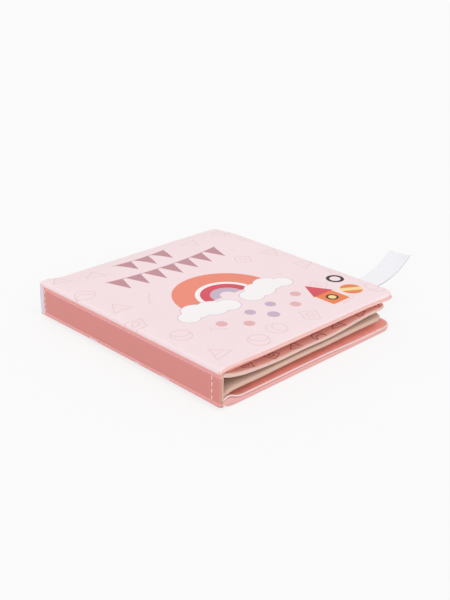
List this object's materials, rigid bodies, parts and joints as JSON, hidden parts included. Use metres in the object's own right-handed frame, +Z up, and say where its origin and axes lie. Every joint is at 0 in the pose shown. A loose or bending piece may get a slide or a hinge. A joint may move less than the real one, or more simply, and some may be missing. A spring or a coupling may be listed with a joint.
{
  "type": "cloth crinkle book",
  "caption": "Soft cloth book with padded covers on stitched hinges, a folded crinkle sheet inside and a ribbon tag at the fore edge.",
  "frame": {"origin": "middle of the back cover's underside, on which the closed book lies", "axes": "+X from the spine to the fore edge, +Y from the tail of the book to its head, +Z up, from the back cover to the front cover"},
  "size_m": [0.1814, 0.16, 0.0366],
  "materials": {
    "front_cloth": "printed cotton, pale pink",
    "spine_cloth": "cotton, salmon",
    "back_cloth": "cotton, salmon pink",
    "lining_cloth": "printed cotton, coral",
    "page_cloth": "printed cotton, pink outside and beige inside",
    "foam": "soft foam wadding",
    "felt": "stiff felt",
    "crinkle_film": "thin crinkle film",
    "satin_ribbon": "white satin ribbon"
  },
  "bodies": {
    "spine_and_leaves": {"spine_cloth": "spine_cloth", "spine_strip": "felt", "page_sheet": "page_cloth", "front_leaf_film": "crinkle_film", "back_leaf_film": "crinkle_film"},
    "front_cover": {"front_cover_cloth": "front_cloth", "front_cover_lining": "lining_cloth", "front_cover_pad": "foam", "ribbon_tag": "satin_ribbon"},
    "back_cover": {"back_cover_cloth": "back_cloth", "back_cover_lining": "lining_cloth", "back_cover_pad": "foam"}
  },
  "joints": [
    {"name": "front_cover_hinge", "type": "hinge", "parent": "spine_and_leaves", "child": "front_cover", "pos_m": [-0.075, 0, 0.02225], "axis": [0, -1, 0], "range_deg": [0, 180]},
    {"name": "back_cover_hinge", "type": "hinge", "parent": "spine_and_leaves", "child": "back_cover", "pos_m": [-0.075, 0, 0.00315], "axis": [0, 1, 0], "range_deg": [0, 180]}
  ]
}
